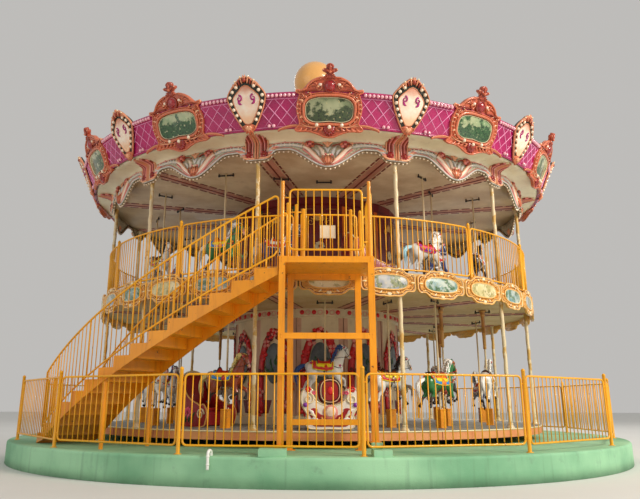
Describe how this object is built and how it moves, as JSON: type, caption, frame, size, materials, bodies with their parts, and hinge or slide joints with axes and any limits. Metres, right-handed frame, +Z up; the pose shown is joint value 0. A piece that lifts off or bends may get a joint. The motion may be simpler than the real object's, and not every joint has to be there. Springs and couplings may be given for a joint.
{
  "type": "fairground carousel",
  "caption": "double-deck fairground carousel with galloping horses on poles, painted cornice and canopy, on a round fenced base with a curved stair and a landing to the upper deck",
  "frame": {"origin": "on the ground, at the centre of the round base, on the axis that the carousel turns about", "axes": "+Z up along the turning axis; -Y towards the landing; the stair goes down from the landing towards -X"},
  "size_m": [13.58, 13.58, 10.28],
  "materials": {
    "green_concrete": "painted concrete, stained",
    "dark_steel": "greasy steel",
    "grey_planks": "grey painted boards",
    "painted_panels": "painted scenic panels",
    "cream_paint": "cream gloss paint, worn",
    "roof_skin": "weathered sheet",
    "gold_paint": "gold paint",
    "orange_paint": "orange-yellow gloss paint",
    "yellow_paint": "yellow gloss paint",
    "magenta_panels": "moulded panels, gloss magenta",
    "fascia_panels": "moulded panels, orange with cream",
    "horse_paint": "painted fibreglass"
  },
  "bodies": {
    "ground_works": {"concrete_base": "green_concrete", "left_tower_pad": "green_concrete", "right_tower_pad": "green_concrete", "slewing_ring": "dark_steel", "landing_floor": "orange_paint", "landing_front_rail": "yellow_paint", "landing_side_rail": "yellow_paint", "stair_tower_front": "orange_paint", "stair_tower_rear": "orange_paint", "stair_steps": "orange_paint", "stair_inner_plate": "orange_paint", "stair_outer_plate": "orange_paint", "stair_outer_handrail": "yellow_paint", "stair_inner_handrail": "yellow_paint", "stair_prop_1": "orange_paint", "stair_prop_2": "orange_paint", "fence_section_1": "yellow_paint", "fence_section_2": "yellow_paint", "fence_section_3": "yellow_paint", "fence_section_4": "yellow_paint", "fence_section_5": "yellow_paint"},
    "carousel": {"lower_platform": "grey_planks", "upper_deck": "grey_planks", "lower_centre_drum": "painted_panels", "upper_centre_drum": "painted_panels", "canopy_ceiling": "cream_paint", "canopy_roof": "roof_skin", "roof_ball": "gold_paint", "deck_rail_section_1": "yellow_paint", "cornice_1": "magenta_panels", "arcade_1": "cream_paint", "deck_fascia_1": "fascia_panels", "deck_rail_section_2": "yellow_paint", "cornice_2": "magenta_panels", "arcade_2": "cream_paint", "deck_fascia_2": "fascia_panels", "deck_rail_section_3": "yellow_paint", "cornice_3": "magenta_panels", "arcade_3": "cream_paint", "deck_fascia_3": "fascia_panels", "deck_rail_section_4": "yellow_paint", "cornice_4": "magenta_panels", "arcade_4": "cream_paint", "deck_fascia_4": "fascia_panels"},
    "deck_gate": {"deck_gate": "yellow_paint"},
    "lower_horse_1": {"lower_horse_1": "horse_paint"},
    "upper_horse_1": {"upper_horse_1": "horse_paint"},
    "lower_horse_2": {"lower_horse_2": "horse_paint"},
    "upper_horse_2": {"upper_horse_2": "horse_paint"},
    "lower_horse_3": {"lower_horse_3": "horse_paint"},
    "upper_horse_3": {"upper_horse_3": "horse_paint"},
    "lower_horse_4": {"lower_horse_4": "horse_paint"},
    "upper_horse_4": {"upper_horse_4": "horse_paint"}
  },
  "joints": [
    {"name": "carousel_spin", "type": "hinge", "parent": "ground_works", "child": "carousel", "pos_m": [0, 0, 0.545], "axis": [0, 0, 1], "continuous": true},
    {"name": "deck_gate_swing", "type": "hinge", "parent": "carousel", "child": "deck_gate", "pos_m": [-0.39828, -5.04932, 3.9], "axis": [0, 0, 1], "range_deg": [0, 90]},
    {"name": "lower_horse_1_rise", "type": "slide", "parent": "carousel", "child": "lower_horse_1", "axis": [0, 0, 1], "range_m": [-0.12, 0.12]},
    {"name": "upper_horse_1_rise", "type": "slide", "parent": "carousel", "child": "upper_horse_1", "axis": [0, 0, 1], "range_m": [-0.12, 0.12]},
    {"name": "lower_horse_2_rise", "type": "slide", "parent": "carousel", "child": "lower_horse_2", "axis": [0, 0, 1], "range_m": [-0.12, 0.12]},
    {"name": "upper_horse_2_rise", "type": "slide", "parent": "carousel", "child": "upper_horse_2", "axis": [0, 0, 1], "range_m": [-0.12, 0.12]},
    {"name": "lower_horse_3_rise", "type": "slide", "parent": "carousel", "child": "lower_horse_3", "axis": [0, 0, 1], "range_m": [-0.12, 0.12]},
    {"name": "upper_horse_3_rise", "type": "slide", "parent": "carousel", "child": "upper_horse_3", "axis": [0, 0, 1], "range_m": [-0.12, 0.12]},
    {"name": "lower_horse_4_rise", "type": "slide", "parent": "carousel", "child": "lower_horse_4", "axis": [0, 0, 1], "range_m": [-0.12, 0.12]},
    {"name": "upper_horse_4_rise", "type": "slide", "parent": "carousel", "child": "upper_horse_4", "axis": [0, 0, 1], "range_m": [-0.12, 0.12]}
  ]
}
